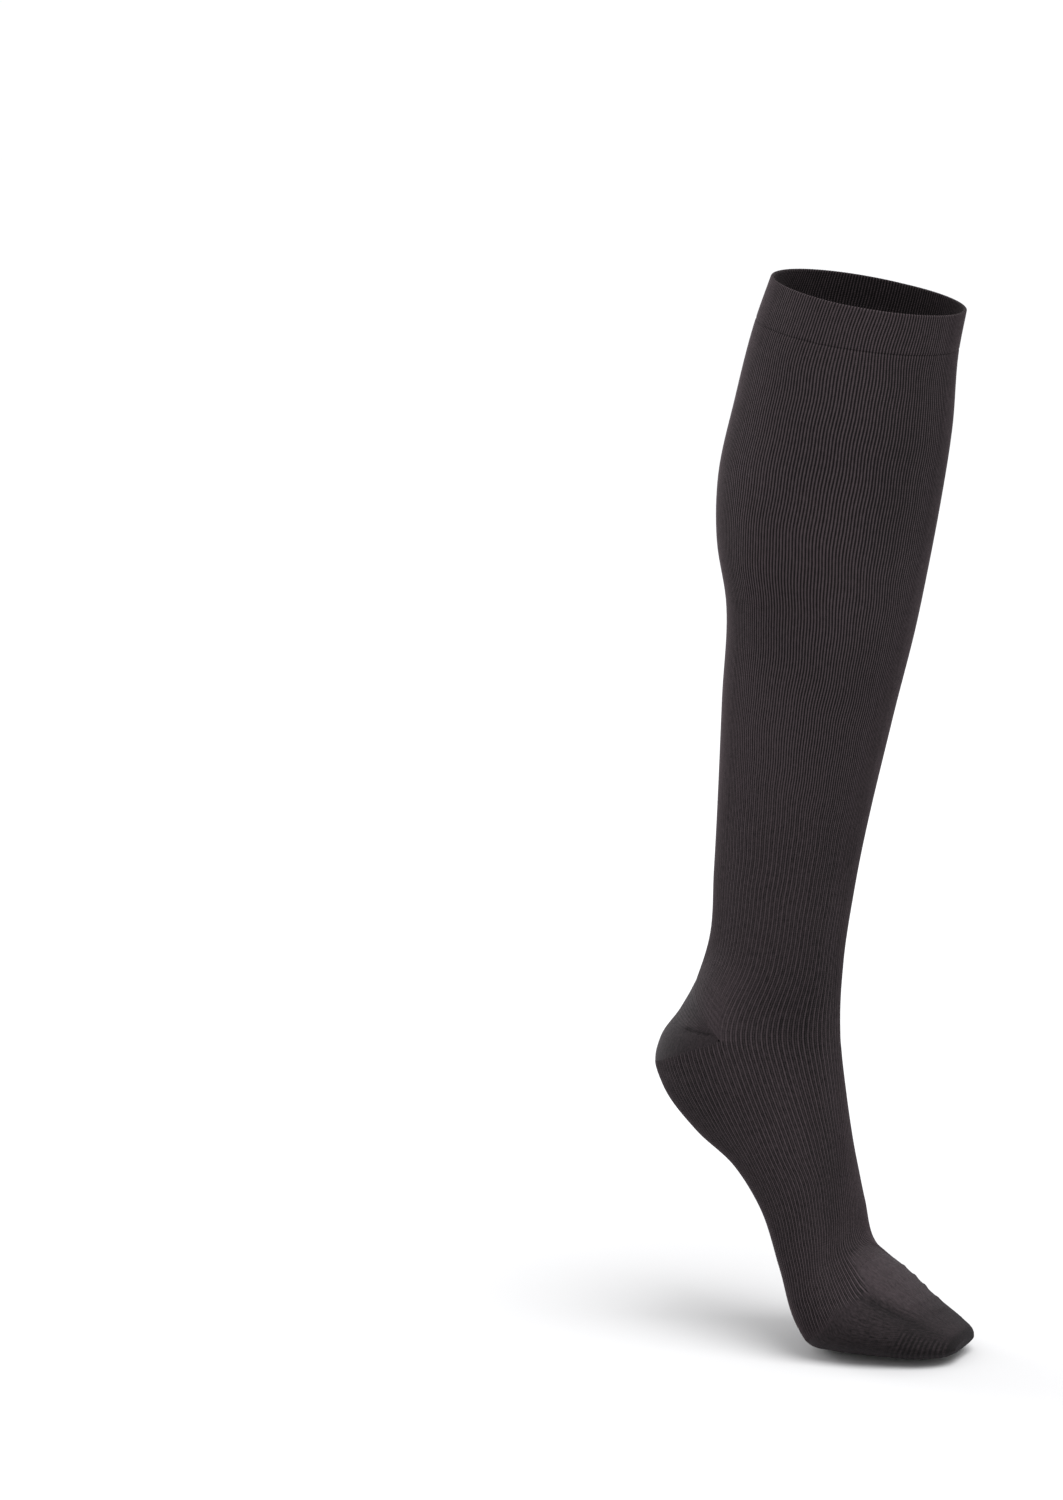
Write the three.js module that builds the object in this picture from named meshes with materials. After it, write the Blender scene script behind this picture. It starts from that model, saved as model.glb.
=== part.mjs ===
// A knee-high compression stocking in its worn shape: a hollow circular-knitted tube in five knitted parts.
// Millimetres, +Z up, toes towards +X, the knee end on top. The origin is the centre of the cuff's opening.
import * as THREE from "three";

// Knit: 1x1 ribs run down the whole tube, one for each pair of the machine's 400 needles.
const ribCount = 200;
const ribHeight = 0.4;
const wallThickness = 1.2;
const seamGap = 0.3;

// Columns run down the tube: an even one is the valley between two ribs, an odd one is a rib's crest.
const columnCount = 2 * ribCount;
const backColumn = columnCount / 2;
const sideColumn = columnCount / 4;
const plainStep = 5;
const innerStep = 10;
const heelFirstColumn = sideColumn + 2;
const heelLastColumn = columnCount - heelFirstColumn;

// Fineness of the arc-length measure of a section, and the reach over which a wall's direction is taken.
const arcSamples = 360;
const tangentReach = 8;
const tangentColumns = 2;

// The centre of the cuff's opening, as x and height in the sections below.
const cuffCentre = { x: 18, z: 524 };

// Sections, in order down the tube. Each gives x and height where it crosses the shin or instep (front),
// the side and the calf or sole (back), and half its width. The height is above the floor under the toes.
const cuffEdge = { front: [64.4, 516], side: [18, 524], back: [-29, 533], half: 47 };
const cuffBase = { front: [60.6, 497], side: [12, 504], back: [-36.6, 512], half: 49 };
const heelUpper = { front: [5.3, 160], side: [-44, 158], back: [-67.3, 184], half: 31 };
const heelLower = { front: [5.3, 160], side: [-44, 158], back: [-90.3, 138.3], half: 31 };
const toeLine = { front: [25.6, 49.8], side: [19, 24], back: [-2, 6], half: 41, backPower: 2.2 };

const legSections = [
  cuffBase,
  { front: [57.5, 459], side: [5, 466], back: [-47, 473], half: 52 },
  { front: [51.5, 420], side: [-2, 427], back: [-55.7, 433], half: 53 },
  { front: [46.1, 391], side: [-5, 398], back: [-55.9, 404], half: 52 },
  { front: [40.4, 363], side: [-5, 369], back: [-51, 375], half: 49 },
  { front: [29.3, 317], side: [-12, 321], back: [-53.3, 326], half: 43.5 },
  { front: [11.2, 232], side: [-23, 236], back: [-58.2, 239], half: 34 },
  { front: [6, 193], side: [-30, 199], back: [-60.6, 205], half: 31 },
  heelUpper,
];

const heelSections = [
  heelUpper,
  { front: [5.3, 160], side: [-44, 158], back: [-76.8, 166.7], half: 31 },
  { front: [5.3, 160], side: [-44, 158], back: [-87.3, 151.5], half: 31 },
  heelLower,
];

const footSections = [
  heelLower,
  { front: [6, 149], side: [-39, 143], back: [-86.2, 126.8], half: 31 },
  { front: [7.9, 131], side: [-28, 118.5], back: [-67.5, 105.7], half: 31.5 },
  { front: [9.7, 114], side: [-18.8, 101.5], back: [-45.5, 91], half: 33, backPower: 2.1 },
  { front: [11.6, 96], side: [-9, 84], back: [-30, 72], half: 35, backPower: 2.2 },
  { front: [16.6, 56.6], side: [9, 33], back: [-7, 15], half: 42, backPower: 2.2 },
  toeLine,
];

const toeSections = [
  toeLine,
  { front: [35.7, 43.5], side: [28, 20], back: [14, 4], half: 40, backPower: 2.2 },
  { front: [45.9, 35.5], side: [39, 18], back: [30, 4], half: 37, backPower: 2.2 },
  { front: [56, 27.5], side: [52, 15], back: [46, 4], half: 32, backPower: 2.2 },
  { front: [65.4, 21.2], side: [64, 13], back: [61, 5], half: 26, backPower: 2.2 },
  { front: [72.2, 17], side: [72, 12], back: [70.5, 7], half: 18, backPower: 2.2 },
  { front: [74, 13.5], side: [74, 11.5], back: [73.5, 9.5], half: 13, backPower: 2.2 },
];

const tubeSections = [
  cuffEdge,
  ...legSections,
  ...heelSections.slice(1, -1),
  ...footSections,
  ...toeSections.slice(1),
];

// A point of a section's half ring. The angle turns from 0 at the front or back to a right angle at the side.
function quarterPoint(section, end, power, angle) {
  const [endX, endZ] = section[end];
  const [sideX, sideZ] = section.side;
  const inward = Math.cos(angle) ** (2 / power);
  const outward = Math.sin(angle) ** (2 / power);
  return new THREE.Vector3(
    sideX + (endX - sideX) * inward - cuffCentre.x,
    section.half * outward,
    sideZ + (endZ - sideZ) * inward - cuffCentre.z,
  );
}

function halfRingPoint(section, turn) {
  const rightAngle = Math.PI / 2;
  if (turn <= 0.5) {
    return quarterPoint(section, "front", 2, 2 * turn * rightAngle);
  }
  return quarterPoint(section, "back", section.backPower ?? 2, 2 * (1 - turn) * rightAngle);
}

// Lengths along a half ring from the front, so that the ribs can be spaced evenly round it.
const arcTables = new Map();

function arcTable(section) {
  if (!arcTables.has(section)) {
    const lengths = [0];
    let last = halfRingPoint(section, 0);
    for (let i = 1; i <= arcSamples; i += 1) {
      const point = halfRingPoint(section, i / arcSamples);
      lengths.push(lengths[i - 1] + point.distanceTo(last));
      last = point;
    }
    arcTables.set(section, lengths);
  }
  return arcTables.get(section);
}

function turnAtLength(lengths, target) {
  let low = 0;
  let high = arcSamples;
  while (high - low > 1) {
    const middle = Math.floor((low + high) / 2);
    if (lengths[middle] <= target) {
      low = middle;
    } else {
      high = middle;
    }
  }
  const step = lengths[high] - lengths[low];
  return (low + (target - lengths[low]) / step) / arcSamples;
}

// The section's point on a column. The columns are spaced evenly from the front to the side point, where a
// quarter of them has passed, and evenly again from there to the back.
function sectionPoint(section, column) {
  const wrapped = ((column % columnCount) + columnCount) % columnCount;
  const mirrored = wrapped > backColumn;
  const quarters = (mirrored ? columnCount - wrapped : wrapped) / sideColumn;
  const lengths = arcTable(section);
  const frontLength = lengths[arcSamples / 2];
  const backLength = lengths[arcSamples] - frontLength;
  const target = Math.min(quarters, 1) * frontLength + Math.max(quarters - 1, 0) * backLength;
  const point = halfRingPoint(section, turnAtLength(lengths, target));
  if (mirrored) {
    point.y = -point.y;
  }
  return point;
}

// The nearest point up or down the same column that is far enough away to give its direction.
function pointAlongColumn(section, column, step) {
  const start = sectionPoint(section, column);
  let index = tubeSections.indexOf(section) + step;
  let point = start;
  while (index >= 0 && index < tubeSections.length && point.distanceTo(start) < tangentReach) {
    point = sectionPoint(tubeSections[index], column);
    index += step;
  }
  return point;
}

function outwardNormal(section, column) {
  const around = sectionPoint(section, column + tangentColumns);
  around.sub(sectionPoint(section, column - tangentColumns));
  const along = pointAlongColumn(section, column, 1).sub(pointAlongColumn(section, column, -1));
  return along.cross(around).normalize();
}

function movedIn(section, column, depth) {
  return sectionPoint(section, column).addScaledVector(outwardNormal(section, column), -depth);
}

function outerPoint(section, column, ribbed) {
  const plainDepth = ribHeight / 2;
  const ribDepth = column % 2 === 0 ? ribHeight : 0;
  return movedIn(section, column, ribbed ? ribDepth : plainDepth);
}

function innerPoint(section, column) {
  return movedIn(section, column, ribHeight + wallThickness);
}

// Rows of points, with each row at a seam drawn back by half the seam's gap.
function shrunkRow(row, neighbour) {
  return row.map((point, i) => {
    const towards = neighbour[i].clone().sub(point).normalize();
    return point.clone().addScaledVector(towards, seamGap / 2);
  });
}

function rowsOf(sections, columns, pointOf, seamAbove, seamBelow) {
  const rows = sections.map((section) => columns.map((column) => pointOf(section, column)));
  const last = rows.length - 1;
  if (seamAbove) {
    rows[0] = shrunkRow(rows[0], rows[1]);
  }
  if (seamBelow) {
    rows[last] = shrunkRow(rows[last], rows[last - 1]);
  }
  return rows;
}

function columnRange(first, last, step) {
  const columns = [first];
  for (let column = Math.ceil((first + 1) / step) * step; column < last; column += step) {
    columns.push(column);
  }
  columns.push(last);
  return columns;
}

// Vertices and triangles of one wall.
class Wall {
  constructor() {
    this.positions = [];
    this.indices = [];
  }

  addRow(points) {
    const first = this.positions.length / 3;
    points.forEach((point) => this.positions.push(point.x, point.y, point.z));
    return points.map((_, i) => first + i);
  }

  quad(a, b, c, d) {
    this.indices.push(a, b, c, a, c, d);
  }

  // Joins two rows that follow the same columns, also where one row has fewer of them.
  strip(rowA, columnsA, rowB, columnsB) {
    let a = 0;
    let b = 0;
    while (a < rowA.length - 1 || b < rowB.length - 1) {
      const nextA = a < rowA.length - 1 ? columnsA[a] + columnsA[a + 1] : Infinity;
      const nextB = b < rowB.length - 1 ? columnsB[b] + columnsB[b + 1] : Infinity;
      if (nextA <= nextB) {
        this.indices.push(rowA[a], rowB[b], rowA[a + 1]);
        a += 1;
      } else {
        this.indices.push(rowA[a], rowB[b], rowB[b + 1]);
        b += 1;
      }
    }
  }

  geometry() {
    const geometry = new THREE.BufferGeometry();
    geometry.setAttribute("position", new THREE.Float32BufferAttribute(this.positions, 3));
    geometry.setIndex(this.indices);
    geometry.computeVertexNormals();
    return geometry;
  }
}

// A ring's row starts and ends on the same vertex.
function closeRing(row) {
  return [...row, row[0]];
}

// Closes the tube's end flat, each column of the upper half joined to the one below it.
function closeEnd(wall, row, columns, facingIn) {
  const vertexAt = new Map(columns.map((column, i) => [column % columnCount, row[i]]));
  const at = (column) => vertexAt.get(((column % columnCount) + columnCount) % columnCount);
  const step = columns[1] - columns[0];
  for (let column = -sideColumn; column < sideColumn; column += step) {
    const corners = [column, column + step, backColumn - column - step, backColumn - column].map(at);
    const distinct = corners.filter((corner, i) => corners.indexOf(corner) === i);
    const ordered = facingIn ? distinct : distinct.reverse();
    for (let i = 2; i < ordered.length; i += 1) {
      wall.indices.push(ordered[0], ordered[i - 1], ordered[i]);
    }
  }
}

// The side of an open wall, from its outer to its inner rows.
function closeSide(wall, outerRows, innerRows, pick, reversed) {
  for (let i = 0; i + 1 < outerRows.length; i += 1) {
    const corners = [pick(outerRows[i]), pick(outerRows[i + 1]), pick(innerRows[i + 1]), pick(innerRows[i])];
    if (reversed) {
      corners.reverse();
    }
    wall.quad(...corners);
  }
}

function knittedWall({ sections, ribbed, seamAbove, seamBelow, closedEnd, firstColumn, lastColumn }) {
  const isRing = lastColumn - firstColumn === columnCount;
  const outerColumns = columnRange(firstColumn, lastColumn, ribbed ? 1 : plainStep);
  const innerColumns = columnRange(firstColumn, lastColumn, innerStep);
  const innerSections = closedEnd ? sections.slice(0, -1) : sections;
  const drop = (columns) => (isRing ? columns.slice(0, -1) : columns);
  const outer = (section, column) => outerPoint(section, column, ribbed);
  const outerPoints = rowsOf(sections, drop(outerColumns), outer, seamAbove, seamBelow);
  const innerPoints = rowsOf(innerSections, drop(innerColumns), innerPoint, seamAbove, seamBelow);

  const wall = new Wall();
  const close = isRing ? closeRing : (row) => row;
  const outerRows = outerPoints.map((points) => close(wall.addRow(points)));
  const innerRows = innerPoints.map((points) => close(wall.addRow(points)));
  for (let i = 0; i + 1 < outerRows.length; i += 1) {
    wall.strip(outerRows[i], outerColumns, outerRows[i + 1], outerColumns);
  }
  for (let i = 0; i + 1 < innerRows.length; i += 1) {
    wall.strip(innerRows[i + 1], innerColumns, innerRows[i], innerColumns);
  }
  wall.strip(innerRows[0], innerColumns, outerRows[0], outerColumns);
  if (closedEnd) {
    closeEnd(wall, outerRows.at(-1).slice(0, -1), drop(outerColumns), false);
    closeEnd(wall, innerRows.at(-1).slice(0, -1), drop(innerColumns), true);
  } else {
    wall.strip(outerRows.at(-1), outerColumns, innerRows.at(-1), innerColumns);
  }
  if (!isRing) {
    closeSide(wall, outerRows, innerRows, (row) => row[0], true);
    closeSide(wall, outerRows, innerRows, (row) => row.at(-1), false);
  }
  return wall.geometry();
}

// Colours: charcoal yarn, a little lighter where it is knitted plain and double.
const ribKnit = new THREE.MeshStandardMaterial({ color: 0x3c3638, roughness: 0.9, metalness: 0 });
const plainKnit = new THREE.MeshStandardMaterial({ color: 0x423c3f, roughness: 0.85, metalness: 0 });
const weltKnit = new THREE.MeshStandardMaterial({ color: 0x3a3436, roughness: 0.9, metalness: 0 });

function knittedPart(name, material, options) {
  const wholeRing = { firstColumn: 0, lastColumn: columnCount, seamAbove: true, seamBelow: true };
  const mesh = new THREE.Mesh(knittedWall({ ...wholeRing, ...options }), material);
  mesh.name = name;
  return mesh;
}

const cuff = knittedPart("cuff", weltKnit, {
  sections: [cuffEdge, cuffBase],
  ribbed: true,
  seamAbove: false,
});
const leg = knittedPart("leg", ribKnit, { sections: legSections, ribbed: true });
const heel = knittedPart("heel", plainKnit, {
  sections: heelSections,
  firstColumn: heelFirstColumn,
  lastColumn: heelLastColumn,
});
const foot = knittedPart("foot", ribKnit, { sections: footSections, ribbed: true });
const toe = knittedPart("toe", plainKnit, { sections: toeSections, seamBelow: false, closedEnd: true });

const stocking = new THREE.Group();
stocking.add(cuff, leg, heel, foot, toe);

export default stocking;
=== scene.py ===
import bpy, math
import numpy as np
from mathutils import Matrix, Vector


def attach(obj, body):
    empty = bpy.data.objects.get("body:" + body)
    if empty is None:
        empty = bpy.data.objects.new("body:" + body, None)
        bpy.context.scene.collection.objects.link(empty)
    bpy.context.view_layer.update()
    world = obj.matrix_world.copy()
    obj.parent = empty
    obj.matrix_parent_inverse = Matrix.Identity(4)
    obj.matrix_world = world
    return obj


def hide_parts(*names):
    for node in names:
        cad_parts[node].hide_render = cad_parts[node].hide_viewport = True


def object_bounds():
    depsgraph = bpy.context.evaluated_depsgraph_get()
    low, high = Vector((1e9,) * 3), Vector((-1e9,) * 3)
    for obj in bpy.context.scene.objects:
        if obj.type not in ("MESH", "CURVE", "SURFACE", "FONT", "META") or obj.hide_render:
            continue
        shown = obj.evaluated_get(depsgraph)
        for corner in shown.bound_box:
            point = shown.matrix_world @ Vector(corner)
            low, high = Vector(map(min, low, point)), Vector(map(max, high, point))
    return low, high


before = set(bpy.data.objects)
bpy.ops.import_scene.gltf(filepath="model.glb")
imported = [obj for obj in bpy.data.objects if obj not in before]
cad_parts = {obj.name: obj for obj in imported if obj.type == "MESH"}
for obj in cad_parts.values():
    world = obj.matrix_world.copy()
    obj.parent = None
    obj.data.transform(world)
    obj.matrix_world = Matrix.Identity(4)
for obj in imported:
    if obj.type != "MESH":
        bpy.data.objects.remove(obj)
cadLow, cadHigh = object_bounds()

bpy.ops.object.select_all(action="DESELECT")
print("frame loaded")

mm = 0.001

# The tube's sections from the cuff to the toes, in millimetres: x and height where each crosses the shin or
# instep (front), the side and the calf or sole (back), and its half width. A power above 2 makes the back
# half squarer. The solids stand on these sections too, all but frontArch, where their faces run straight.
cuffCentre = (18, 524)
sectionTable = {
    "cuffEdge": dict(front=(64.4, 516), side=(18, 524), back=(-29, 533), half=47),
    "cuffBase": dict(front=(60.6, 497), side=(12, 504), back=(-36.6, 512), half=49),
    "upperCalf": dict(front=(57.5, 459), side=(5, 466), back=(-47, 473), half=52),
    "calf": dict(front=(51.5, 420), side=(-2, 427), back=(-55.7, 433), half=53),
    "lowerCalf": dict(front=(46.1, 391), side=(-5, 398), back=(-55.9, 404), half=52),
    "underCalf": dict(front=(40.4, 363), side=(-5, 369), back=(-51, 375), half=49),
    "shin": dict(front=(29.3, 317), side=(-12, 321), back=(-53.3, 326), half=43.5),
    "lowerShin": dict(front=(11.2, 232), side=(-23, 236), back=(-58.2, 239), half=34),
    "ankle": dict(front=(6, 193), side=(-30, 199), back=(-60.6, 205), half=31),
    "heelUpper": dict(front=(5.3, 160), side=(-44, 158), back=(-67.3, 184), half=31),
    "heelBack": dict(front=(5.3, 160), side=(-44, 158), back=(-76.8, 166.7), half=31),
    "heelCup": dict(front=(5.3, 160), side=(-44, 158), back=(-87.3, 151.5), half=31),
    "heelLower": dict(front=(5.3, 160), side=(-44, 158), back=(-90.3, 138.3), half=31),
    "underHeel": dict(front=(6, 149), side=(-39, 143), back=(-86.2, 126.8), half=31),
    "rearArch": dict(front=(7.9, 131), side=(-28, 118.5), back=(-67.5, 105.7), half=31.5),
    "midArch": dict(front=(9.7, 114), side=(-18.8, 101.5), back=(-45.5, 91), half=33, power=2.1),
    "arch": dict(front=(11.6, 96), side=(-9, 84), back=(-30, 72), half=35, power=2.2),
    "frontArch": dict(front=(14.2, 76), side=(0, 55), back=(-17.5, 43), half=38.5, power=2.2),
    "ball": dict(front=(16.6, 56.6), side=(9, 33), back=(-7, 15), half=42, power=2.2),
    "toeLine": dict(front=(25.6, 49.8), side=(19, 24), back=(-2, 6), half=41, power=2.2),
    "toeRoots": dict(front=(35.7, 43.5), side=(28, 20), back=(14, 4), half=40, power=2.2),
    "toeBack": dict(front=(45.9, 35.5), side=(39, 18), back=(30, 4), half=37, power=2.2),
    "toeMiddle": dict(front=(56, 27.5), side=(52, 15), back=(46, 4), half=32, power=2.2),
    "toeFront": dict(front=(65.4, 21.2), side=(64, 13), back=(61, 5), half=26, power=2.2),
    "toeEnds": dict(front=(72.2, 17), side=(72, 12), back=(70.5, 7), half=18, power=2.2),
    "toeSeam": dict(front=(74, 13.5), side=(74, 11.5), back=(73.5, 9.5), half=13, power=2.2),
}
sectionNames = list(sectionTable)

knit = {
    "ribs": 200,  # all round, one to each pair of the machine's 400 needles
    "ribHeight": 0.4 * mm,
    "pairHeight": 0.1 * mm,  # where every second rib stands out, as at the ankle
    "ringHeight": 0.12 * mm,
    "ringSpacing": 2.3 * mm,
    "wall": 1.2 * mm,
    "courseHeight": 0.9 * mm,  # real courses are about 0.45 mm, too fine to show
    "columnsPerRib": 4,
    "innerEvery": 8,  # columns of the outside to one of the inside
    "seamRows": (0, 0.2, 0.45, 0.75, 1.1, 1.6, 2.4),  # millimetres from each end of a piece
    "evenRowsFrom": 3.5,  # and from here the rows are evenly spaced
    "innerRowEvery": 3,  # of those even rows, how many to one of the inside
    "insideShade": -0.25,
}
# the last layer is mostly painted light and shade in the yarn's colour, and also holds the inside's darker
# tone
layerNames = ("ribbed", "paired", "ringed", "paintedLightAndTone")
columnCount = knit["ribs"] * knit["columnsPerRib"]
sideColumn = columnCount // 4


def quartersAt(columns):
    # 0 at the front, 1 at either side and 2 at the back
    turned = np.mod(columns, columnCount)
    return np.minimum(turned, columnCount - turned) / sideColumn


def tubeAt(name, share=0):
    # A place down the tube: the number of the section above it, and the share of the way to the next
    return sectionNames.index(name) + share


# Smooth lines down the tube through the sections' points

def smoothLine(values, place):
    step = np.diff(place)
    known = np.concatenate([[True], step > 1e-6])  # the heel's sections share their front and side
    at, points = place[known], values[known]
    gap = np.diff(at)[:, None]
    rate = np.diff(points, axis=0) / gap
    inner = (rate[:-1] * gap[1:] + rate[1:] * gap[:-1]) / (gap[1:] + gap[:-1])
    slopes = np.concatenate([rate[:1], inner, rate[-1:]])
    return values, slopes[np.cumsum(known) - 1], place


def sectionLine(key):
    points = np.array([sectionTable[name][key] for name in sectionNames], float)
    points = (points - np.array(cuffCentre)) * mm
    step = np.linalg.norm(np.diff(points, axis=0), axis=1)
    return smoothLine(points, np.concatenate([[0], np.cumsum(step)]))


def lineAt(line, tube):
    values, slopes, place = line
    i = min(int(tube), len(values) - 2)
    s = tube - i
    gap = place[i + 1] - place[i]
    fromAbove = (2 * s**3 - 3 * s**2 + 1) * values[i] + (s**3 - 2 * s**2 + s) * gap * slopes[i]
    fromBelow = (3 * s**2 - 2 * s**3) * values[i + 1] + (s**3 - s**2) * gap * slopes[i + 1]
    return fromAbove + fromBelow


frontLine, sideLine, backLine = (sectionLine(key) for key in ("front", "side", "back"))
widths = [[sectionTable[name]["half"] * mm, sectionTable[name].get("power", 2)] for name in sectionNames]
widthLine = smoothLine(np.array(widths, float), backLine[2])


# Rings: a quarter turns from the front to the side, the next from the side to the back

def quarterRing(end, side, half, power, shares):
    finePoints = 97
    angles = np.linspace(0, math.pi / 2, finePoints)
    inward = np.cos(angles).clip(0) ** (2 / power)
    outward = np.sin(angles).clip(0) ** (2 / power)
    x = side[0] + (end[0] - side[0]) * inward
    z = side[1] + (end[1] - side[1]) * inward
    curve = np.stack([x, half * outward, z], 1)
    lengths = np.concatenate([[0], np.cumsum(np.linalg.norm(np.diff(curve, axis=0), axis=1))])
    at = shares * lengths[-1]
    return np.stack([np.interp(at, lengths, curve[:, i]) for i in range(3)], 1)


def ringPoints(tube, columns):
    front, side, back = (lineAt(line, tube) for line in (frontLine, sideLine, backLine))
    half, power = lineAt(widthLine, tube)
    quarters = quartersAt(columns)
    frontHalf = quarterRing(front, side, half, 2, quarters.clip(0, 1))
    backHalf = quarterRing(back, side, half, power, (2 - quarters).clip(0, 1))
    points = np.where((quarters <= 1)[:, None], frontHalf, backHalf)
    points[:, 1] *= np.where(np.mod(columns, columnCount) > columnCount / 2, -1, 1)
    return points


def ramp(x):
    # Climbs gently from 0 to 1, with its middle at 0
    x = np.clip(x + 0.5, 0, 1)
    return x * x * (3 - 2 * x)


ballSlide = {
    # over the ball the ribs keep their way down to the sole while the foot's form turns towards the toes
    "most": 0.28,  # quarters round the tube
    "starts": ("frontArch", 0.2),
    "full": ("toeRoots", 0),
    "falls": ("toeBack", 0),
    "gone": ("toeFront", 0.5),
    "flat": (0.4, 1.1),  # the quarters round between which all ribs slide as far
}


def ribSlide(tube, columns):
    # How far the ribs slide round towards the sole here, in columns
    starts, full, falls, gone = (tubeAt(*ballSlide[key]) for key in ("starts", "full", "falls", "gone"))
    down = ramp((tube - starts) / (full - starts) - 0.5) * ramp((gone - tube) / (gone - falls) - 0.5)
    quarters = quartersAt(columns)
    low, high = ballSlide["flat"]
    rise = np.sin(np.clip(quarters / low, 0, 1) * math.pi / 2)
    fall = 0.5 + 0.5 * np.cos(np.clip((quarters - high) / (2 - high), 0, 1) * math.pi)
    side = np.where(np.mod(columns, columnCount) > columnCount / 2, -1, 1)
    return ballSlide["most"] * sideColumn * down * rise * fall * side


ribStray = {
    # far is how far the ribs stray, in columns, and rise the height in millimetres to a radian of the wave.
    # bend is by how many radians the wave moves up and down round the tube, and often how many times.
    "slow": dict(far=0.6, rise=7.3, bend=2.2, often=2, turned=1),
    "quick": dict(far=0.55, rise=4.1, bend=3, often=2, turned=2),
    # just below the cuff the ribs crowd together in waves round the tube
    "underBand": dict(far=1.9, height=489, reach=9, often=5, bend=0.6, bendOften=3),
    "heelHeight": 160,
    "straightBeside": 32,  # above and below the heel the ribs stay straight for this far,
    "fullAfter": 40,  # and stray in full after this much more
}


def ribPlaces(tube, columns):
    # Ribs aren't quite straight: where each runs at this height, in columns
    height = lineAt(sideLine, tube)[1] / mm + cuffCentre[1]
    fromHeel = abs(height - ribStray["heelHeight"])
    awayFromHeel = np.clip((fromHeel - ribStray["straightBeside"]) / ribStray["fullAfter"], 0, 1)
    turn = 2 * math.pi * columns / columnCount

    def swing(wave):
        bend = wave["bend"] * np.sin(turn * wave["often"] + wave["turned"])
        return wave["far"] * np.sin(height / wave["rise"] + bend)

    band = ribStray["underBand"]
    nearBand = math.exp(-(((height - band["height"]) / band["reach"]) ** 2))
    bend = band["bend"] * np.sin(turn * band["bendOften"])
    underBand = band["far"] * nearBand * np.sin(turn * band["often"] + bend)
    stray = swing(ribStray["slow"]) + swing(ribStray["quick"]) + underBand
    return columns + awayFromHeel * stray + ribSlide(tube, columns)


def surface(tubes, columns):
    # Points and outward normals, a row for each place down the tube
    nearby = 0.03  # of the way to the next section
    lastTube = len(sectionNames) - 1
    rows = [(t, ribPlaces(t, columns)) for t in tubes]
    points = np.array([ringPoints(t, row) for t, row in rows])
    ahead = np.array([ringPoints(min(t + nearby, lastTube), row) for t, row in rows])
    behind = np.array([ringPoints(max(t - nearby, 0), row) for t, row in rows])
    left = np.array([ringPoints(t, row + 1) for t, row in rows])
    right = np.array([ringPoints(t, row - 1) for t, row in rows])
    normals = np.cross(ahead - behind, left - right)
    normals /= np.linalg.norm(normals, axis=2, keepdims=True)
    return points, normals


def rowsDown(settings):
    # Rows down a piece, closer together beside its two ends where the seams are
    first, last = tubeAt(settings["first"]), tubeAt(settings["last"])
    probe = np.array(settings.get("probe", (0.25, 1.75))) * sideColumn
    finePerSection = 24
    fine = np.linspace(first, last, finePerSection * (last - first) + 1)
    track = np.array([ringPoints(t, probe).mean(0) for t in fine])
    down = np.concatenate([[0], np.cumsum(np.linalg.norm(np.diff(track, axis=0), axis=1))])
    total = down[-1]
    edge = np.array(knit["seamRows"]) * mm
    evenFrom = knit["evenRowsFrom"] * mm
    count = max(2, round((total - 2 * evenFrom) / (settings["rowSpacing"] * mm)))
    places = np.concatenate([edge, np.linspace(evenFrom, total - evenFrom, count), total - edge[::-1]])
    return np.interp(places, down, fine), places, total


# Where the knit changes, and where light and shade are painted into its colour: each zone adds its amount
# to a layer between two places down the tube, each given for some quarters round. soft is how gently it
# starts and ends, in sections. around keeps a zone between two quarters round, and its third number is how
# gently it fades there.

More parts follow.
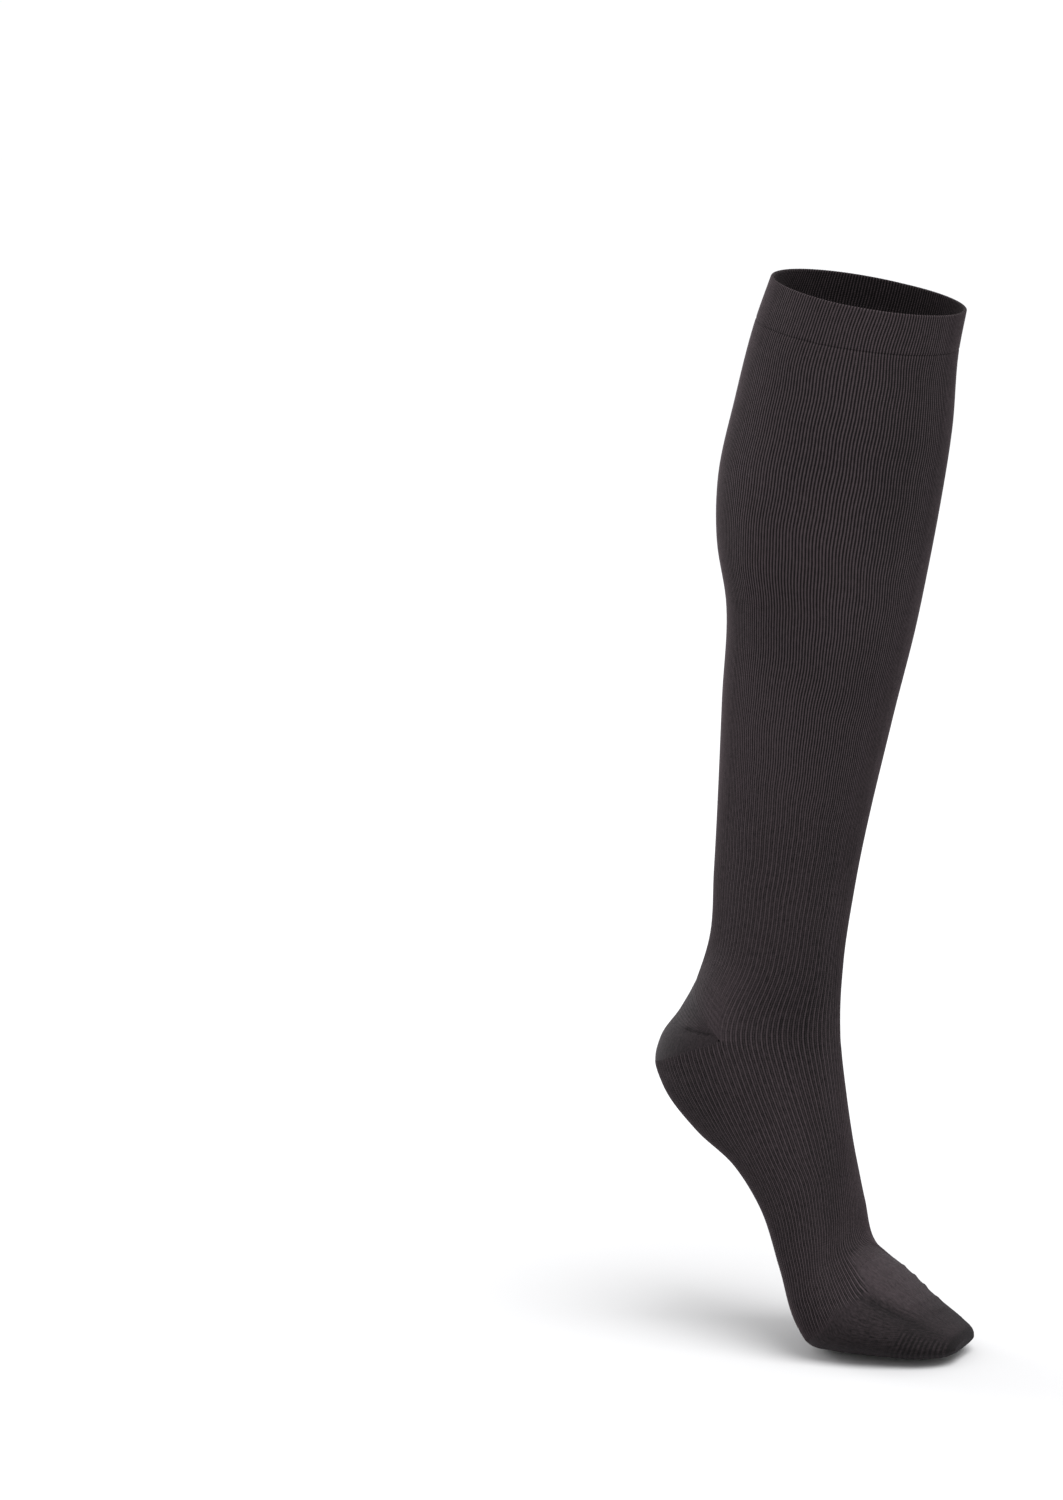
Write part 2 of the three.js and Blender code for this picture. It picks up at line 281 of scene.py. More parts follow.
plainToeStart = [
    (0, "ball", 0.3), (0.31, "ball", 0.45), (0.4, "toeLine", 0.3), (0.49, "toeLine", 0.9),
    (0.69, "toeLine", 0.5), (0.84, "ball", 0.9), (1.03, "ball", 0.8), (1.2, "ball", 0.9), (2, "ball", 0.9),
]
zones = [
    dict(layer="ribbed", amount=1, start=[(0, "cuffEdge", -3)], end=[(0, "toeSeam", 3)]),
    dict(layer="ribbed", amount=-0.3, start=[(0, "lowerShin", -0.3)], end=[(0, "arch", 0.6)],
         soft=(1.4, 1.4)),
    dict(layer="ribbed", amount=-1, start=plainToeStart, end=[(0, "toeSeam", 3)], soft=(0.5, 1)),
    dict(layer="ribbed", amount=-0.55,
         start=[(0.95, "ankle", 0.6), (1.15, "ankle", 0.2), (2, "ankle", 0.2)], end=[(0, "heelLower", 0)],
         soft=(0.9, 0.2), around=(0.98, 3, 0.14)),
    dict(layer="ribbed", amount=-0.4, start=[(0, "heelUpper", 0.1)], end=[(0, "heelLower", 0)],
         soft=(0.9, 0.2), around=(1, 3, 0.1)),
    dict(layer="paired", amount=1, start=[(0, "shin", 0.8), (1, "shin", 0.5), (2, "shin", 0.9)],
         end=[(0, "toeSeam", 3)], soft=(1.1, 1)),
    dict(layer="ringed", amount=0.8, start=[(0, "ankle", 0.6)], end=[(0, "heelBack", 0.3)],
         soft=(0.4, 0.8), around=(1, 3, 0.2)),
    dict(layer="ringed", amount=0.8, start=[(0, "toeBack", 0.8)], end=[(0, "toeEnds", 0)],
         soft=(0.5, 0.6), around=(0.75, 1.5, 0.2)),
    # painted light down the back and left of the lower leg, and partly the smoother knit's own lighter tone
    # behind the ankle
    dict(layer="paintedLightAndTone", amount=0.1, start=[(0, "underCalf", 0.5)], end=[(0, "heelUpper", 0.2)],
         soft=(1.4, 0.5), around=(0.8, 3, 0.5)),
    dict(layer="paintedLightAndTone", amount=0.18, start=[(0, "ankle", 0.2)], end=[(0, "heelUpper", 0.1)],
         soft=(0.8, 0.8), around=(0.95, 1.25, 0.3)),
    # painted shade on the back of the heel pocket
    dict(layer="paintedLightAndTone", amount=-0.13, start=[(0, "heelUpper", -0.1)], end=[(0, "heelLower", 0)],
         soft=(1, 0.2), around=(1.4, 3, 0.4)),
    # painted shade down the front of the stocking, more on the calf's front, where the sun lights it most
    dict(layer="paintedLightAndTone", amount=-0.09, start=[(0, "cuffEdge", -3)], end=[(0, "toeLine", 0)], soft=(1, 1.5),
         around=(-1, 0.5, 0.4)),
    dict(layer="paintedLightAndTone", amount=-0.1, start=[(0, "cuffBase", 0)], end=[(0, "calf", 0.6)], soft=(0.3, 1),
         around=(-1, 0.5, 0.4)),
    # painted shade under the heel and on the lower sides and sole of the foot
    dict(layer="paintedLightAndTone", amount=-0.07, start=[(0, "heelLower", 0)], end=[(0, "underHeel", 0.8)],
         soft=(0.1, 0.9), around=(1.1, 3, 0.3)),
    dict(layer="paintedLightAndTone", amount=-0.04, start=[(0, "arch", 0)], end=[(0, "toeSeam", 3)], soft=(1, 1),
         around=(0.4, 3, 0.3)),
    # painted light on the top of the toes, where light from above and the plain knit's sheen fall
    dict(layer="paintedLightAndTone", amount=0.18, start=plainToeStart, end=[(0, "toeBack", 0.5)], soft=(0.5, 2.5),
         around=(-1, 0.48, 0.3)),
    # painted shade on the toes' sides and front; the tip is painted darkest, painted shade and partly the
    # dark linked toe seam
    dict(layer="paintedLightAndTone", amount=-0.07, start=[(0, "toeRoots", 0)], end=[(0, "toeSeam", 3)], soft=(1.5, 1),
         around=(0.5, 1.4, 0.2)),
    dict(layer="paintedLightAndTone", amount=-0.09, start=[(0, "toeBack", 0.8)], end=[(0, "toeEnds", 0)], soft=(1, 0.6)),
    dict(layer="paintedLightAndTone", amount=-0.34, start=[(0, "toeEnds", 0)], end=[(0, "toeSeam", 3)], soft=(0.5, 1)),
    # painted shade in the groove where the welt joins the leg
    dict(layer="paintedLightAndTone", amount=-0.2, start=[(0, "cuffBase", -0.02)], end=[(0, "cuffBase", 0.005)],
         soft=(0.02, 0.01)),
]


def zoneWeight(zone, tubes, quarters):
    edges = []
    for key in ("start", "end"):
        around = [quarter for quarter, name, share in zone[key]]
        places = [tubeAt(name, share) for quarter, name, share in zone[key]]
        edges.append(np.interp(quarters, around, places))
    softIn, softOut = zone.get("soft", (1, 1))
    weight = ramp((tubes[:, None] - edges[0]) / softIn) * ramp((edges[1] - tubes[:, None]) / softOut)
    if "around" in zone:
        low, high, soft = zone["around"]
        weight = weight * ramp((quarters - low) / soft) * ramp((high - quarters) / soft)
    return weight


def layersAt(tubes, columns):
    layers = {name: np.zeros((len(tubes), len(columns))) for name in layerNames}
    quarters = quartersAt(np.array([ribPlaces(t, columns) for t in tubes]))
    for zone in zones:
        layers[zone["layer"]] += zone["amount"] * zoneWeight(zone, tubes, quarters)
    for name in ("ribbed", "paired", "ringed"):
        layers[name] = layers[name].clip(0, 1)
    return layers


# Creases: soft troughs and ridges on the cloth, each between two points in space

creases = [
    # start and end are x, y and height above the floor, in millimetres like depth and half width. A ridge
    # has a negative depth. The last number, where given, paints shade into a trough's colour and light onto
    # a ridge's.
    dict(start=(-50, -30.6, 160.3), end=(-65, -25.5, 160.7), depth=0.8, width=0.9, paintedLightAndTone=-0.15),
    dict(start=(-56, -28.8, 163.4), end=(-68, -23.8, 164.6), depth=-0.6, width=2.2, paintedLightAndTone=0.07),
    dict(start=(-48, 30.5, 158), end=(-61, 27.5, 160), depth=0.6, width=1.1, paintedLightAndTone=-0.2),
    dict(start=(-55, 29, 165), end=(-68, 23, 168), depth=-0.5, width=2.9),
    dict(start=(-5, -29, 160), end=(6, -9, 153), depth=0.4, width=3.2),
    dict(start=(-3, 30, 163), end=(7, 8, 155), depth=0.4, width=3.0),
    dict(start=(17, -8, 55), end=(17, 12, 55), depth=0.7, width=2.4),
    dict(start=(14, -22, 55), end=(21, -33, 44), depth=0.5, width=2.8),
    dict(start=(15, 24, 54), end=(22, 36, 41), depth=0.5, width=2.6),
    dict(start=(27, -10, 48), end=(29, 18, 46), depth=-0.5, width=2.2),
    dict(start=(34, 0, 44), end=(33.6, 20, 41), depth=-1.0, width=1.5),
    dict(start=(38, -12, 40), end=(39.5, 19, 37), depth=-1.1, width=1.6),
    dict(start=(45, -4, 35), end=(44.5, 20, 32), depth=-0.9, width=1.5),
    dict(start=(51, -10, 31), end=(51.5, 19, 27), depth=-1.0, width=1.6),
    dict(start=(58, 0, 26), end=(58.5, 16, 24), depth=-0.7, width=1.4),
    dict(start=(-68, -13, 183), end=(-68, 13, 183), depth=0.45, width=1.3),
    dict(start=(32, -28.5, 37), end=(53, -21, 27), depth=1.1, width=4, paintedLightAndTone=-0.14),
    dict(start=(35, 30, 34), end=(50, 24, 27), depth=0.8, width=4.2, paintedLightAndTone=-0.1),
    dict(start=(22, -14, 50), end=(27, -33, 39), depth=-0.3, width=3.4),
]


def creaseMarks(points):
    # shares of a crease's length: it runs on past each end, and fades there
    runOn, fadeOver = 0.4, 0.6
    depth = np.zeros(points.shape[:-1])
    paintedLightAndTone = np.zeros(points.shape[:-1])
    origin = np.array([cuffCentre[0], 0, cuffCentre[1]]) * mm
    for crease in creases:
        a = np.array(crease["start"], float) * mm - origin
        b = np.array(crease["end"], float) * mm - origin
        along = ((points - a) @ (b - a) / ((b - a) @ (b - a))).clip(-runOn, 1 + runOn)
        far = np.linalg.norm(points - (a + along[..., None] * (b - a)), axis=-1)
        fade = np.clip(np.minimum(along + runOn, 1 + runOn - along) / fadeOver, 0, 1)
        weight = fade * np.exp(-((far / (crease["width"] * mm)) ** 2))
        depth += crease["depth"] * mm * weight
        # painted shade in the troughs and painted light on the ridges
        paintedLightAndTone += crease.get("paintedLightAndTone", 0) * weight
    return depth, paintedLightAndTone


# Building a knitted wall: an outside, a coarse plain inside, and the strips that join their edges

def gridFaces(first, second, flip):
    faces = []
    for k in range(len(first) - 1):
        quad = (first[k], second[k], second[k + 1], first[k + 1])
        faces.append(quad[::-1] if flip else quad)
    return faces


def joinRows(longRow, longAt, shortRow, shortAt, flip):
    faces = []
    a = b = 0
    while a < len(longRow) - 1 or b < len(shortRow) - 1:
        nextA = longAt[a] + longAt[a + 1] if a < len(longRow) - 1 else math.inf
        nextB = shortAt[b] + shortAt[b + 1] if b < len(shortRow) - 1 else math.inf
        if nextA <= nextB:
            face = (longRow[a], shortRow[b], longRow[a + 1])
            a += 1
        else:
            face = (longRow[a], shortRow[b], shortRow[b + 1])
            b += 1
        faces.append(face[::-1] if flip else face)
    return faces


def endCap(row, facingIn):
    # Closes the tube's flat end, each point of the upper half joined to the one below it
    count = len(row)
    quarter = count // 4
    faces = []
    for k in range(-quarter, quarter):
        above = row[k % count], row[(k + 1) % count]
        below = row[(2 * quarter - k) % count], row[(2 * quarter - k - 1) % count]
        face = list(dict.fromkeys([above[0], below[0], below[1], above[1]]))
        faces.append(tuple(face[::-1] if facingIn else face))
    return faces


def relief(settings, columns, places, total, layers):
    # How deep the outside lies under the smooth form
    turn = columns / knit["columnsPerRib"]
    ribWave = 0.5 - 0.5 * np.cos(2 * math.pi * turn)
    pairWave = 0.5 + 0.5 * np.cos(math.pi * (turn - 0.5))
    ringWave = 0.5 - 0.5 * np.cos(2 * math.pi * places / knit["ringSpacing"])
    depth = knit["ribHeight"] * (0.5 + layers["ribbed"] * (0.5 - ribWave))
    depth += knit["pairHeight"] * layers["ribbed"] * layers["paired"] * (0.5 - pairWave)
    if settings["rowSpacing"] * mm < knit["ringSpacing"] / 2:  # wider rows can't carry rings
        depth += knit["ringHeight"] * layers["ringed"] * (0.5 - ringWave)[:, None]
    for key, distance in (("topGroove", places), ("endGroove", total - places)):
        if key in settings:
            groove = settings[key]
            depth += (groove["depth"] * mm * np.exp(-((distance / (groove["width"] * mm)) ** 2)))[:, None]
    return depth


def rimRound(places, radius):
    # A folded rim: the wall turns over in a quarter circle on each side
    short = np.clip(radius - places, 0, radius)
    return radius - np.sqrt(radius**2 - short**2)


def knittedPiece(settings):
    tubes, places, total = rowsDown(settings)
    firstColumn, lastColumn = settings.get("columns", (0, columnCount))
    isRing = lastColumn - firstColumn == columnCount
    columns = np.arange(firstColumn, lastColumn + 1, dtype=float)
    points, normals = surface(tubes, columns)
    layers = layersAt(tubes, columns)
    creaseDepth, creasePaintedLight = creaseMarks(points)
    # the creases' painted shade and light join the layer
    layers["paintedLightAndTone"] += creasePaintedLight
    outerDepth = relief(settings, columns, places, total, layers) + creaseDepth
    innerDepth = knit["ribHeight"] + knit["wall"] + creaseDepth
    if "foldedRim" in settings:
        fold, tuck = settings["foldedRim"], settings["innerTuck"]
        rim = rimRound(places, fold["radius"] * mm)[:, None]
        outerDepth += rim * fold["share"]
        innerDepth -= rim * fold["share"]
        fromTuck = (total - places - tuck["fromEnd"] * mm) / (tuck["width"] * mm)
        innerDepth += tuck["depth"] * mm * np.exp(-(fromTuck**2))[:, None]

    outside = points - normals * outerDepth[..., None]
    innerColumns = columns[::knit["innerEvery"]]
    if innerColumns[-1] < lastColumn:
        innerColumns = np.append(innerColumns, lastColumn)
    seamCount, rowCount = len(knit["seamRows"]), len(tubes)
    evenRows = range(seamCount, rowCount - seamCount, knit["innerRowEvery"])
    innerRows = [*range(seamCount), *evenRows, *range(rowCount - seamCount, rowCount)]
    picked = np.searchsorted(columns, innerColumns)
    inside = (points - normals * innerDepth[..., None])[np.ix_(innerRows, picked)]

    vertices, uvs = [], []
    layerValues = {name: [] for name in layers}

    def addRow(row, rowColumns, i):
        start = len(vertices)
        count = len(row) - 1 if isRing else len(row)
        vertices.extend(row[:count])
        course = places[i] / knit["courseHeight"]
        uvs.extend((column / knit["columnsPerRib"], course) for column in rowColumns[:count])
        at = np.searchsorted(columns, rowColumns[:count])
        for name, values in layers.items():
            layerValues[name].extend(values[i, at])
        indices = list(range(start, start + count))
        return indices + indices[:1] if isRing else indices

    outer = [addRow(row, columns, i) for i, row in enumerate(outside)]
    inner = [addRow(row, innerColumns, i) for i, row in zip(innerRows, inside)]
    innerStart = inner[0][0]
    layerValues["paintedLightAndTone"][innerStart:] = [knit["insideShade"]] * (len(vertices) - innerStart)

    faces = []
    for a, b in zip(outer[:-1], outer[1:]):
        faces += gridFaces(a, b, False)
    for a, b in zip(inner[:-1], inner[1:]):
        faces += gridFaces(a, b, True)
    faces += joinRows(inner[0], innerColumns, outer[0], columns, False)
    rims = [] if "foldedRim" in settings else [outer[0], inner[0]]
    if settings.get("closedEnd"):
        faces += endCap(outer[-1][:-1], False)
        faces += endCap(inner[-1][:-1], True)
    else:
        faces += joinRows(outer[-1], columns, inner[-1], innerColumns, False)
        rims += [outer[-1], inner[-1]]
    if not isRing:
        for k, flip in ((0, False), (-1, True)):
            outerSide, innerSide = [row[k] for row in outer], [row[k] for row in inner]
            faces += joinRows(outerSide, places, innerSide, places[innerRows], flip)
            rims += [outerSide, innerSide]

    piece = makeObject(settings["name"], vertices, faces, uvs, layerValues)
    sharpenRims(piece, rims)
    if isRing:
        closeUvSeam(piece)
    print(f"{settings['name']}: {sum(len(f) - 2 for f in faces)} triangles")
    return piece


def makeObject(name, points, faces, uvs, layerValues):
    mesh = bpy.data.meshes.new(name)
    mesh.from_pydata([tuple(p) for p in points], [], faces)
    mesh.update()
    layer = mesh.uv_layers.new(name="knitMap")
    corners = np.empty(len(mesh.loops), np.int32)
    mesh.loops.foreach_get("vertex_index", corners)
    layer.uv.foreach_set("vector", np.asarray(uvs, np.float32)[corners].ravel())
    for key, values in layerValues.items():
        attribute = mesh.attributes.new(key, "FLOAT", "POINT")
        attribute.data.foreach_set("value", np.asarray(values, np.float32))
    mesh.polygons.foreach_set("use_smooth", np.ones(len(mesh.polygons), bool))
    piece = bpy.data.objects.new(name, mesh)
    bpy.context.collection.objects.link(piece)
    return piece


def sharpenRims(piece, rims):
    # The flat rims at the seams are shaded apart from the outside
    pairs = {tuple(sorted(pair)) for rim in rims for pair in zip(rim[:-1], rim[1:])}
    for edge in piece.data.edges:
        if tuple(sorted(edge.vertices)) in pairs:
            edge.use_edge_sharp = True


def closeUvSeam(piece):
    # The last faces round the ring run on to the full count of ribs in place of back to nought
    mesh = piece.data
    layer = mesh.uv_layers["knitMap"]
    values = np.empty(len(mesh.loops) * 2, np.float32)
    layer.uv.foreach_get("vector", values)
    values = values.reshape(-1, 2)
    sizes = np.empty(len(mesh.polygons), np.int32)
    mesh.polygons.foreach_get("loop_total", sizes)
    owner = np.repeat(np.arange(len(sizes)), sizes)
    highest = np.zeros(len(sizes))
    np.maximum.at(highest, owner, values[:, 0])
    late, early = 0.6 * knit["ribs"], 0.3 * knit["ribs"]
    wraps = (highest[owner] > late) & (values[:, 0] < early)
    values[wraps, 0] += knit["ribs"]
    layer.uv.foreach_set("vector", values.ravel())


# Pieces, with row spacing, grooves, rim and tuck in millimetres. probe says where round the tube its length
# is measured, in quarters.

cuffSettings = {
    "name": "cuffWelt",
    "first": "cuffEdge",
    "last": "cuffBase",
    "rowSpacing": 2.0,
    "foldedRim": dict(radius=0.75, share=0.9),
    "innerTuck": dict(depth=0.3, fromEnd=2.5, width=0.9),  # inside, where the turned half is knitted in
    "endGroove": dict(depth=0.32, width=0.5),
}
legSettings = {
    "name": "legRibKnit",
    "first": "cuffBase",
    "last": "heelUpper",
    "rowSpacing": 4.0,
    "topGroove": dict(depth=0.32, width=0.5),
}
heelSettings = {
    "name": "heelPocket",
    "first": "heelUpper",
    "last": "heelLower",
    "rowSpacing": 1.0,
    "probe": (1.8,),
    # the pocket starts and ends one rib behind the gore lines
    "columns": (sideColumn + knit["columnsPerRib"], columnCount - sideColumn - knit["columnsPerRib"]),
    "topGroove": dict(depth=0.22, width=0.5),
}
footSettings = {
    "name": "footRibKnit",
    "first": "heelLower",
    "last": "toeLine",
    "rowSpacing": 2.4,
}
toeSettings = {
    "name": "toeCap",
    "first": "toeLine",
    "last": "toeSeam",
    "rowSpacing": 0.8,
    "closedEnd": True,
}

cuffPiece = knittedPiece(cuffSettings)
legPiece = knittedPiece(legSettings)
heelPiece = knittedPiece(heelSettings)
footPiece = knittedPiece(footSettings)
toePiece = knittedPiece(toeSettings)
print("knitted pieces made")


# Materials

def linear(code):
    values = [int(code[i:i + 2], 16) / 255 for i in (1, 3, 5)]
    return [v / 12.92 if v <= 0.04045 else ((v + 0.055) / 1.055) ** 2.4 for v in values] + [1]


def addNode(tree, kind, settings=None, links=None):
    node = tree.nodes.new(kind)
    for key, value in (settings or {}).items():
        setattr(node, key, value)
    for key, value in (links or {}).items():
        if isinstance(value, bpy.types.NodeSocket):
            tree.links.new(value, node.inputs[key])
        else:
            node.inputs[key].default_value = value
    return node


def knitMaterial(settings):
    # Nylon and elastane yarn, circular knitted: matte dark cloth whose loops stand in columns
    material = bpy.data.materials.new(settings["name"])
    material.use_nodes = True
    tree = material.node_tree
    shader = tree.nodes["Principled BSDF"]
    uv = addNode(tree, "ShaderNodeUVMap", {"uv_map": "knitMap"}).outputs["UV"]
    split = addNode(tree, "ShaderNodeSeparateXYZ", links={0: uv})
    place = addNode(tree, "ShaderNodeTexCoord").outputs["Object"]
    known = {"rib": split.outputs["X"], "course": split.outputs["Y"]}
    for name in layerNames:
        known[name] = addNode(tree, "ShaderNodeAttribute", {"attribute_name": name}).outputs["Fac"]
    stretched = addNode(tree, "ShaderNodeVectorMath", {"operation": "MULTIPLY"}, {
        0: uv, 1: (1.0, settings["dashStretch"], 1.0),
    }).outputs[0]
    noises = [
        ("cloud", "3D", {"Vector": place, "Scale": settings["cloudScale"], "Detail": 3.0}),
        ("fleck", "3D", {"Vector": place, "Scale": settings["fleckScale"], "Detail": 2.0}),
        ("dash", "2D", {"Vector": stretched, "Scale": settings["dashScale"], "Detail": 2.0}),
        ("streak", "1D", {"W": known["rib"], "Scale": settings["streakScale"], "Detail": 2.0}),
    ]
    for name, dimensions, links in noises:
        noise = addNode(tree, "ShaderNodeTexNoise", {"noise_dimensions": dimensions}, links)
        known[name] = noise.outputs["Fac"]

    ringTurn = 2 * math.pi * knit["courseHeight"] / knit["ringSpacing"]
    steps = [
        # a rib's crest lies halfway between whole numbers of ribs
        # painted shade darkens each rib's groove and painted highlight lightens its crest, over the ribs'
        # relief
        ("ribTurn", "MULTIPLY", "rib", 2 * math.pi),
        ("ribCosine", "COSINE", "ribTurn"),
        ("ribWave", "MULTIPLY_ADD", "ribCosine", -0.5, 0.5),
        ("pairTurn", "MULTIPLY_ADD", "rib", math.pi, -math.pi / 2),
        ("pairCosine", "COSINE", "pairTurn"),
        ("pairWave", "MULTIPLY_ADD", "pairCosine", 0.5, 0.5),
        ("pairShare", "MULTIPLY", "paired", settings["pairing"]),
        ("pairMore", "SUBTRACT", "pairWave", "ribWave"),
        ("ribTone", "MULTIPLY_ADD", "pairMore", "pairShare", "ribWave"),
        ("crestTone", "POWER", "ribTone", settings["crestPower"]),
        ("ribMore", "SUBTRACT", "crestTone", settings["plainTone"]),
        ("knitTone", "MULTIPLY_ADD", "ribMore", "ribbed", settings["plainTone"]),
        # rings run round the tube, their grooves painted darker as shade
        ("ringAngle", "MULTIPLY", "course", ringTurn),
        ("ringCosine", "COSINE", "ringAngle"),
        ("ringPaintedShade", "MULTIPLY", "ringCosine", -settings["ringPaintedShade"]),
        ("ringedTone", "MULTIPLY_ADD", "ringPaintedShade", "ringed", "knitTone"),
        # each loop is a V: its two legs lean away from its column's middle
        ("wales", "MULTIPLY", "rib", settings["walesPerRib"]),
        ("waleShare", "FRACT", "wales"),
        ("offMiddle", "SUBTRACT", "waleShare", 0.5),
        ("fromMiddle", "ABSOLUTE", "offMiddle"),
        ("lean", "MULTIPLY_ADD", "fromMiddle", settings["lean"], "course"),
        ("loopShare", "FRACT", "lean"),
        ("loopAngle", "MULTIPLY", "loopShare", math.pi),
        ("loopWave", "SINE", "loopAngle"),
        ("waleAngle", "MULTIPLY", "fromMiddle", 2 * math.pi),
        ("waleCosine", "COSINE", "waleAngle"),
        ("waleWave", "MULTIPLY_ADD", "waleCosine", settings["waleRise"], 1 - settings["waleRise"]),
        ("height", "MULTIPLY", "loopWave", "waleWave"),
        # painted highlight where a loop stands up and painted shade between loops
        ("loopPaintedLight", "MULTIPLY_ADD", "height", settings["loopPaintedLight"], -settings["loopMean"]),
        # uneven yarn: clouds, flecks of a millimetre, ribs and lengths of a rib a little lighter or darker
        ("cloudTone", "MULTIPLY_ADD", "cloud", settings["cloudTone"], -settings["cloudTone"] / 2),
        ("fleckTone", "MULTIPLY_ADD", "fleck", settings["fleckTone"], -settings["fleckTone"] / 2),
        ("streakTone", "MULTIPLY_ADD", "streak", settings["streakTone"], -settings["streakTone"] / 2),
        ("dashTone", "MULTIPLY_ADD", "dash", settings["dashTone"], -settings["dashTone"] / 2),
        ("sumA", "ADD", "ringedTone", "paintedLightAndTone"),
        ("sumB", "ADD", "cloudTone", "fleckTone"),
        ("sumC", "ADD", "streakTone", "loopPaintedLight"),
        ("sumD", "ADD", "sumA", "sumB"),
        ("sumE", "ADD", "sumC", "dashTone"),
        ("tone", "ADD", "sumD", "sumE"),
    ]
    for name, operation, *inputs in steps:
        links = {i: known.get(value, value) for i, value in enumerate(inputs)}
        known[name] = addNode(tree, "ShaderNodeMath", {"operation": operation}, links).outputs[0]

    colour = addNode(tree, "ShaderNodeMix", {"data_type": "RGBA", "clamp_factor": True}, {
        0: known["tone"], 6: linear(settings["valley"]), 7: linear(settings["crest"]),
    })
    bump = addNode(tree, "ShaderNodeBump", links={
        "Height": known["height"], "Strength": settings["bump"], "Distance": settings["bumpDistance"],
    })
    tree.links.new(colour.outputs[2], shader.inputs["Base Color"])
    tree.links.new(bump.outputs["Normal"], shader.inputs["Normal"])
    shader.inputs["Roughness"].default_value = settings["roughness"]
    shader.inputs["IOR"].default_value = settings["ior"]
    shader.inputs["Specular IOR Level"].default_value = settings["specular"]
    shader.inputs["Sheen Weight"].default_value = settings["sheen"]
    shader.inputs["Sheen Roughness"].default_value = settings["sheenRoughness"]
    shader.inputs["Sheen Tint"].default_value = linear(settings["sheenTint"])
    return material


yarn = {
    # one dyed yarn makes the whole stocking, painted dark in a groove as shade and lighter on a crest as
    # highlight
    "valley": "#0f0d0e",
    "crest": "#41393c",
    "crestPower": 1.35,  # above 1, crests are narrower than grooves
    "plainTone": 0.33,  # how far from valley to crest the plain knit looks
    "pairing": 0.5,  # how much every second rib stands out in tone
    # painted shade in the rings' grooves
    "ringPaintedShade": 0.16,
    "waleRise": 0.35,  # half of how far a loop's middle stands above its sides
    # painted highlight on the loops and painted shade between them
    "loopPaintedLight": 0.16,
    "loopMean": 0.09,  # taken off again, so loops hardly change the cloth's mean tone
    "cloudTone": 0.3,
    "fleckTone": 0.36,
    "fleckScale": 850.0,  # to the metre, so flecks are about a millimetre
    "dashTone": 0.5,
    "dashScale": 1.3,  # to a rib
    "dashStretch": 0.22,  # so dashes are longer down the rib than across it
    "streakTone": 0.24,
    "streakScale": 0.7,  # to a rib
    "bumpDistance": 0.0003,  # a loop stands out 0.3 mm
    "ior": 1.5,
    "specular": 0.08,  # fine loops scatter most of the shine
    "sheen": 0.07,
    "sheenRoughness": 0.45,
}
ribKnit = knitMaterial({
    **yarn, "name": "nylonRibKnit", "walesPerRib": 1, "lean": 1.1, "cloudScale": 14.0, "bump": 0.4,
    "roughness": 0.88, "sheenTint": "#b9aeb2",
})
plainKnit = knitMaterial({
    **yarn, "name": "nylonPlainKnit", "walesPerRib": 2, "lean": 1.0, "cloudScale": 18.0, "bump": 0.3,
    "roughness": 0.8, "sheenTint": "#b9b0b8",
})
weltKnit = knitMaterial({
    **yarn, "name": "elasticWeltKnit", "walesPerRib": 1, "lean": 1.1, "cloudScale": 14.0, "bump": 0.4,
    "roughness": 0.88, "sheenTint": "#b9aeb2",
})


def dress(piece, material, node):
    piece.data.materials.append(material)
    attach(piece, "root")
    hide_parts(node)


# Each piece gets its yarn, hangs from the root and hides the solid it stands in for
dress(cuffPiece, weltKnit, "cuff")
dress(legPiece, ribKnit, "leg")
dress(heelPiece, plainKnit, "heel")
dress(footPiece, ribKnit, "foot")
dress(toePiece, plainKnit, "toe")
print("materials given")


# Floor, light and camera

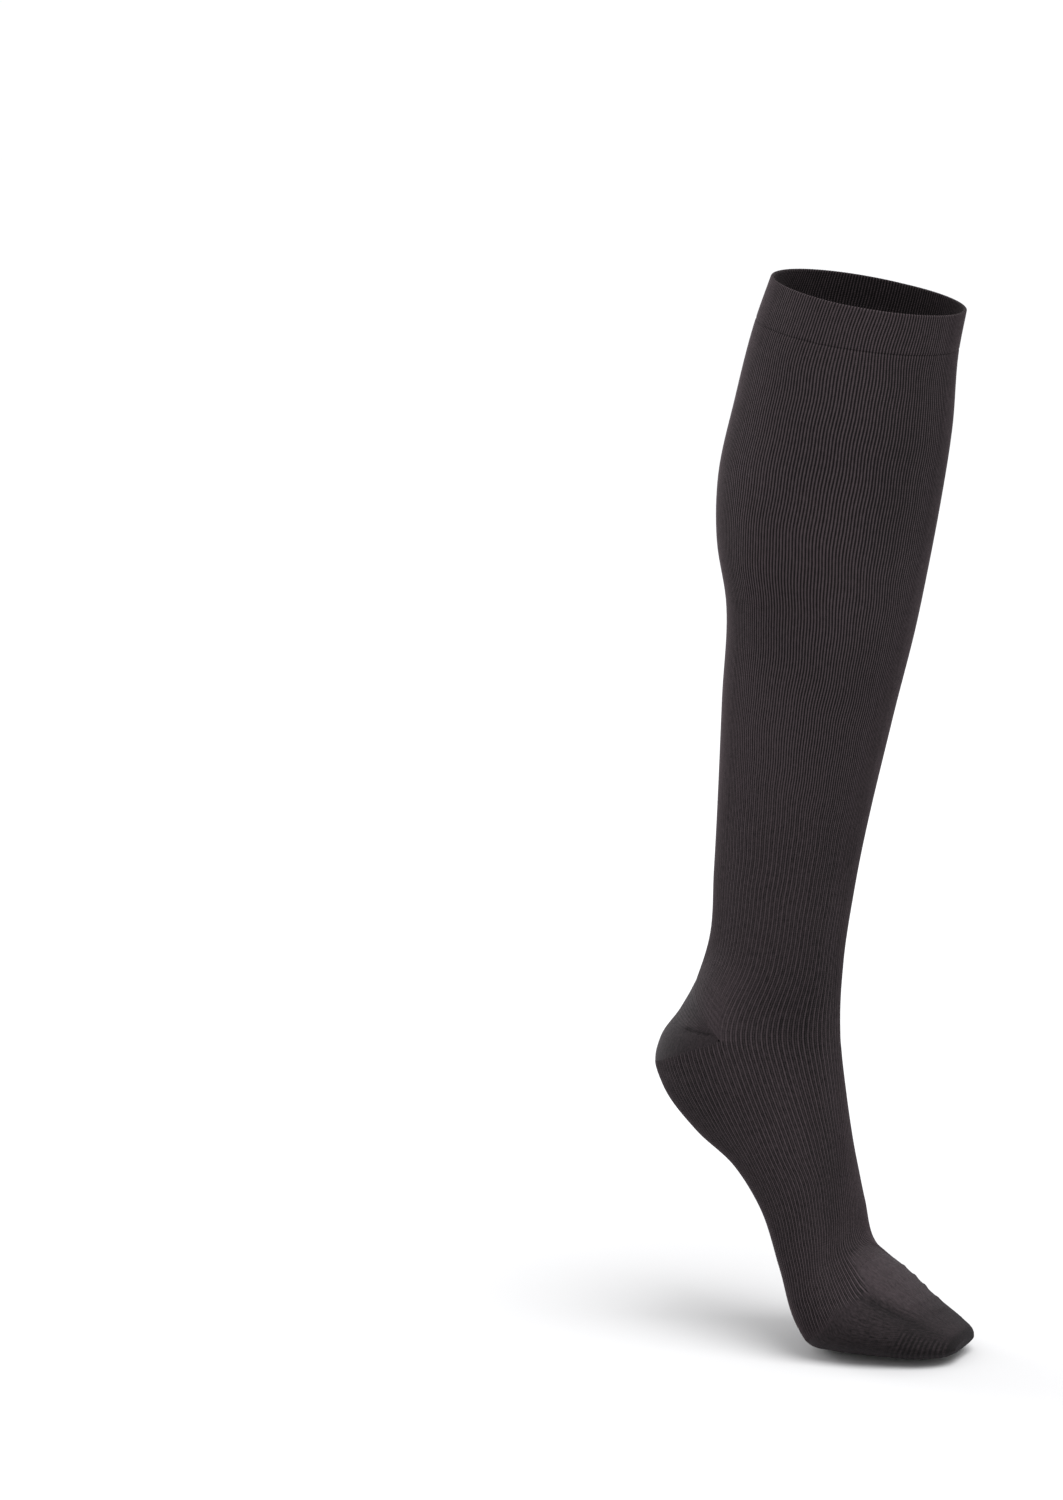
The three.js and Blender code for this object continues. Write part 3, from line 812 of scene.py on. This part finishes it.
studio = {
    "floorSize": 12,
    "floorBelow": 0.0006,  # just clear of the lowest stitches
    "floorColour": "#c0c0c1",
    "floorRoughness": 0.95,
    "worldStrength": 1.02,
    "lamps": [
        # a sun's power is per square metre, and its size its angle in degrees
        dict(name="overheadSun", kind="SUN", place=(0.95, -0.5, 2), size=44, power=3.15),
        dict(name="leftLamp", kind="AREA", place=(-2.2, 0.5, -0.1), size=1.2, power=46),
    ],
}
bpy.ops.mesh.primitive_plane_add(size=studio["floorSize"], location=(0, 0, cadLow.z - studio["floorBelow"]))
floor = bpy.context.object
floor.name = "paleFloor"
floorMaterial = bpy.data.materials.new("paleStudioFloor")
floorMaterial.use_nodes = True
floorShader = floorMaterial.node_tree.nodes["Principled BSDF"]
floorShader.inputs["Base Color"].default_value = linear(studio["floorColour"])
floorShader.inputs["Roughness"].default_value = studio["floorRoughness"]
floor.data.materials.append(floorMaterial)

world = bpy.data.worlds.new("whiteStudio")
world.use_nodes = True
world.node_tree.nodes["Background"].inputs["Color"].default_value = (1, 1, 1, 1)
world.node_tree.nodes["Background"].inputs["Strength"].default_value = studio["worldStrength"]
bpy.context.scene.world = world
bpy.context.scene.view_settings.view_transform = "Standard"

middle = (cadLow + cadHigh) / 2
for lamp in studio["lamps"]:
    light = bpy.data.lights.new(lamp["name"], lamp["kind"])
    if lamp["kind"] == "SUN":
        light.angle = math.radians(lamp["size"])
    else:
        light.size = lamp["size"]
    light.energy = lamp["power"]
    holder = bpy.data.objects.new(lamp["name"], light)
    bpy.context.collection.objects.link(holder)
    holder.location = lamp["place"]
    holder.rotation_euler = (middle - Vector(lamp["place"])).to_track_quat("-Z", "Y").to_euler()

view = {
    "azimuth": 25,
    "elevation": 10.5,
    "distance": 2.8,
    "target": (-149 * mm, -62 * mm, -223 * mm),
    "frameHeight": 1500 * 0.485 * mm,  # the photo's pixels at their scale at the stocking
}
azimuth, elevation = math.radians(view["azimuth"]), math.radians(view["elevation"])
level = math.cos(elevation)
backwards = Vector((math.sin(azimuth) * level, -math.cos(azimuth) * level, math.sin(elevation)))
cameraData = bpy.data.cameras.new("photoCamera")
cameraData.sensor_fit = "AUTO"
cameraData.sensor_width = 36
cameraData.lens = cameraData.sensor_width * view["distance"] / view["frameHeight"]
camera = bpy.data.objects.new("photoCamera", cameraData)
bpy.context.collection.objects.link(camera)
camera.location = Vector(view["target"]) + backwards * view["distance"]
camera.rotation_euler = (-backwards).to_track_quat("-Z", "Y").to_euler()
bpy.context.scene.camera = camera
print("studio and camera set")
